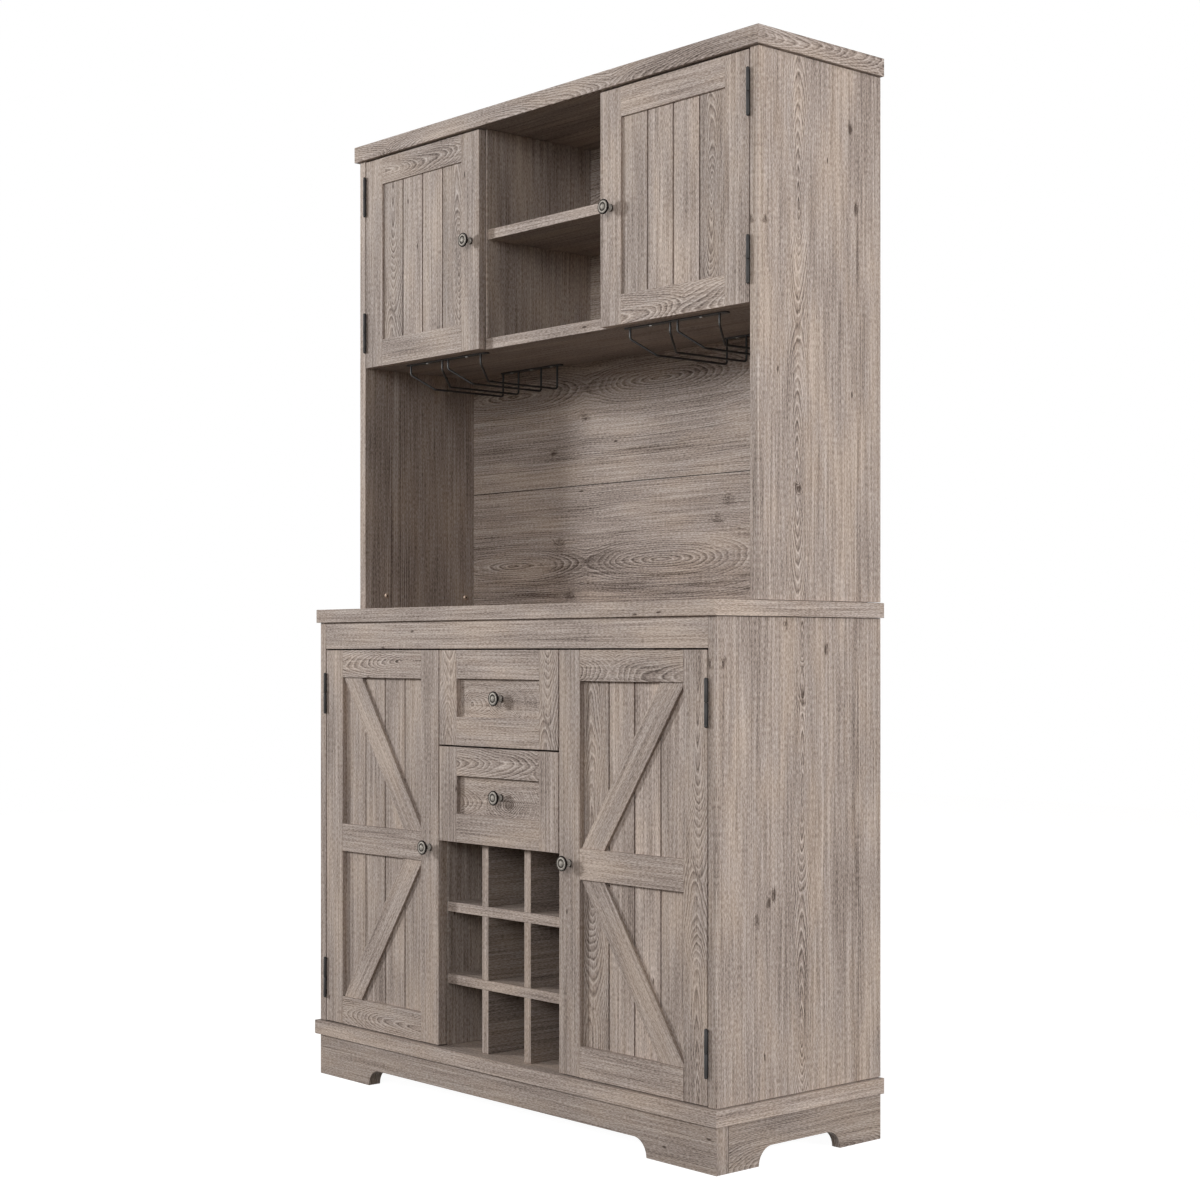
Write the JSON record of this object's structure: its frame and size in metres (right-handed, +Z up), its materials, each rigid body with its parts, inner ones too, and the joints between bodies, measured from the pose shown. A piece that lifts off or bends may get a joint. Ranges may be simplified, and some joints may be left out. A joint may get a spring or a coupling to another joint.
{
  "type": "coffee bar cabinet",
  "caption": "Tall farmhouse coffee bar cabinet: braced doors, drawers and a bottle rack below a countertop, with an open niche, hanging glass racks and a hutch with planked doors above.",
  "frame": {"origin": "on the floor, at the middle of the width and of the depth over the knobs", "axes": "+Z up along the height, +X to the right as seen from the front, the front faces -Y and the back +Y"},
  "size_m": [1.1, 0.4054, 1.8],
  "materials": {
    "oak_laminate": "matte grey-brown weathered oak laminate",
    "drawer_board": "matte paper-laminated board",
    "pewter": "satin antique pewter plating",
    "black_steel": "matte black",
    "black_wire": "satin black"
  },
  "bodies": {
    "cabinet": {"plinth_front": "oak_laminate", "plinth_side_left": "oak_laminate", "plinth_side_right": "oak_laminate", "base_board": "oak_laminate", "base_side_left": "oak_laminate", "base_side_right": "oak_laminate", "base_divider_left": "oak_laminate", "base_divider_right": "oak_laminate", "base_back": "oak_laminate", "front_apron": "oak_laminate", "countertop": "oak_laminate", "base_shelf_left": "oak_laminate", "base_shelf_right": "oak_laminate", "drawer_floor": "oak_laminate", "wine_shelf_1": "oak_laminate", "wine_shelf_2": "oak_laminate", "wine_divider_1": "oak_laminate", "wine_divider_2": "oak_laminate", "hutch_side_left": "oak_laminate", "hutch_side_right": "oak_laminate", "hutch_divider_left": "oak_laminate", "hutch_divider_right": "oak_laminate", "hutch_bottom": "oak_laminate", "hutch_open_shelf": "oak_laminate", "hutch_shelf_left": "oak_laminate", "hutch_shelf_right": "oak_laminate", "hutch_back": "oak_laminate", "hutch_top_board": "oak_laminate", "glass_rack_left": "black_wire", "glass_rack_right": "black_wire", "hinge_upper_left_top_frame_leaf": "black_steel", "hinge_upper_left_bottom_frame_leaf": "black_steel", "hinge_upper_right_top_frame_leaf": "black_steel", "hinge_upper_right_bottom_frame_leaf": "black_steel", "hinge_lower_left_top_frame_leaf": "black_steel", "hinge_lower_left_bottom_frame_leaf": "black_steel", "hinge_lower_right_top_frame_leaf": "black_steel", "hinge_lower_right_bottom_frame_leaf": "black_steel"},
    "door_upper_left": {"door_upper_left": "oak_laminate", "door_knob_upper_left": "pewter", "hinge_upper_left_top_door_leaf": "black_steel", "hinge_upper_left_bottom_door_leaf": "black_steel"},
    "door_upper_right": {"door_upper_right": "oak_laminate", "door_knob_upper_right": "pewter", "hinge_upper_right_top_door_leaf": "black_steel", "hinge_upper_right_bottom_door_leaf": "black_steel"},
    "door_lower_left": {"door_lower_left": "oak_laminate", "door_knob_lower_left": "pewter", "hinge_lower_left_top_door_leaf": "black_steel", "hinge_lower_left_bottom_door_leaf": "black_steel"},
    "door_lower_right": {"door_lower_right": "oak_laminate", "door_knob_lower_right": "pewter", "hinge_lower_right_top_door_leaf": "black_steel", "hinge_lower_right_bottom_door_leaf": "black_steel"},
    "drawer_upper": {"drawer_front_upper": "oak_laminate", "drawer_box_upper": "drawer_board", "drawer_knob_upper": "pewter"},
    "drawer_lower": {"drawer_front_lower": "oak_laminate", "drawer_box_lower": "drawer_board", "drawer_knob_lower": "pewter"}
  },
  "joints": [
    {"name": "door_upper_left_hinge", "type": "hinge", "parent": "cabinet", "child": "door_upper_left", "pos_m": [-0.52225, -0.09305, 1.366], "axis": [0, 0, -1], "range_deg": [0, 170]},
    {"name": "door_upper_right_hinge", "type": "hinge", "parent": "cabinet", "child": "door_upper_right", "pos_m": [0.52225, -0.09305, 1.366], "axis": [0, 0, 1], "range_deg": [0, 170]},
    {"name": "door_lower_left_hinge", "type": "hinge", "parent": "cabinet", "child": "door_lower_left", "pos_m": [-0.52225, -0.18555, 0.105], "axis": [0, 0, -1], "range_deg": [0, 170]},
    {"name": "door_lower_right_hinge", "type": "hinge", "parent": "cabinet", "child": "door_lower_right", "pos_m": [0.52225, -0.18555, 0.105], "axis": [0, 0, 1], "range_deg": [0, 170]},
    {"name": "drawer_upper_slide", "type": "slide", "parent": "cabinet", "child": "drawer_upper", "axis": [0, -1, 0], "range_m": [0, 0.25]},
    {"name": "drawer_lower_slide", "type": "slide", "parent": "cabinet", "child": "drawer_lower", "axis": [0, -1, 0], "range_m": [0, 0.25]}
  ]
}
